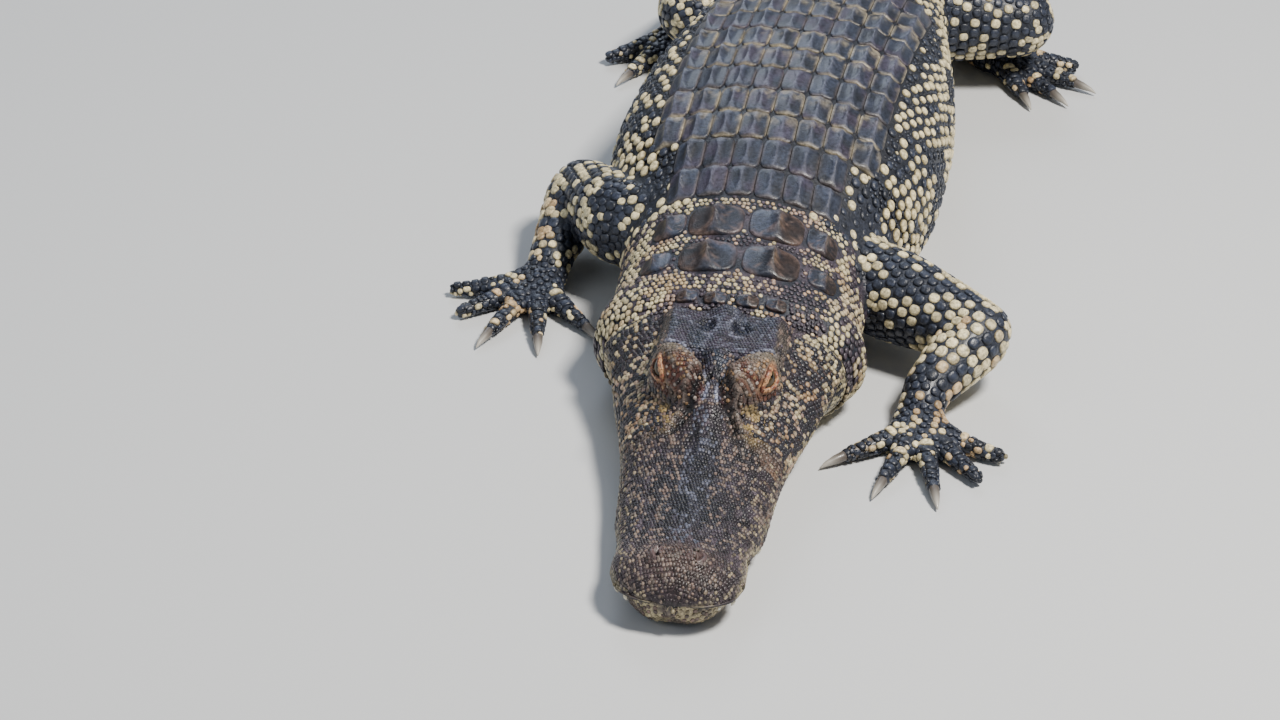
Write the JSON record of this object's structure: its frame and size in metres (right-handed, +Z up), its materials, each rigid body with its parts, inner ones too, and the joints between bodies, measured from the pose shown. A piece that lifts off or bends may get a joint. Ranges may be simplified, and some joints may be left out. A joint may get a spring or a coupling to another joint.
{
  "type": "american alligator, still life-size model",
  "caption": "Life-size american alligator lying on its belly, mouth closed, legs folded at its sides and tail in a gentle curve.",
  "frame": {"origin": "on the floor, under the middle of the whole animal's bounding box", "axes": "+Z up; the snout points along -Y and the tail along +Y; +X is towards the animal's left side"},
  "size_m": [0.6186, 2.6472, 0.2041],
  "materials": {
    "skin": "wet hide of keeled bony scutes and rounded scales, near black with cream scales on the flanks and legs",
    "head_skin": "wet rugose skin tight over bone, purple-brown to slate",
    "eye": "glossy ball with an olive-gold iris and an upright slit pupil",
    "claw": "satin horn, grey with pale tips"
  },
  "bodies": {
    "root": {"head": "head_skin", "lower_jaw": "head_skin", "eye_left": "eye", "eye_right": "eye", "neck": "skin", "torso_front": "skin", "torso_rear": "skin", "tail_base": "skin", "tail_middle": "skin", "tail_rear": "skin", "tail_tip": "skin", "front_left_upper_leg": "skin", "front_left_lower_leg": "skin", "front_left_foot": "skin", "front_left_claw_1": "claw", "front_left_claw_2": "claw", "front_left_claw_3": "claw", "front_right_upper_leg": "skin", "front_right_lower_leg": "skin", "front_right_foot": "skin", "front_right_claw_1": "claw", "front_right_claw_2": "claw", "front_right_claw_3": "claw", "hind_left_upper_leg": "skin", "hind_left_lower_leg": "skin", "hind_left_foot": "skin", "hind_left_claw_1": "claw", "hind_left_claw_2": "claw", "hind_left_claw_3": "claw", "hind_right_upper_leg": "skin", "hind_right_lower_leg": "skin", "hind_right_foot": "skin", "hind_right_claw_1": "claw", "hind_right_claw_2": "claw", "hind_right_claw_3": "claw"}
  },
  "joints": []
}
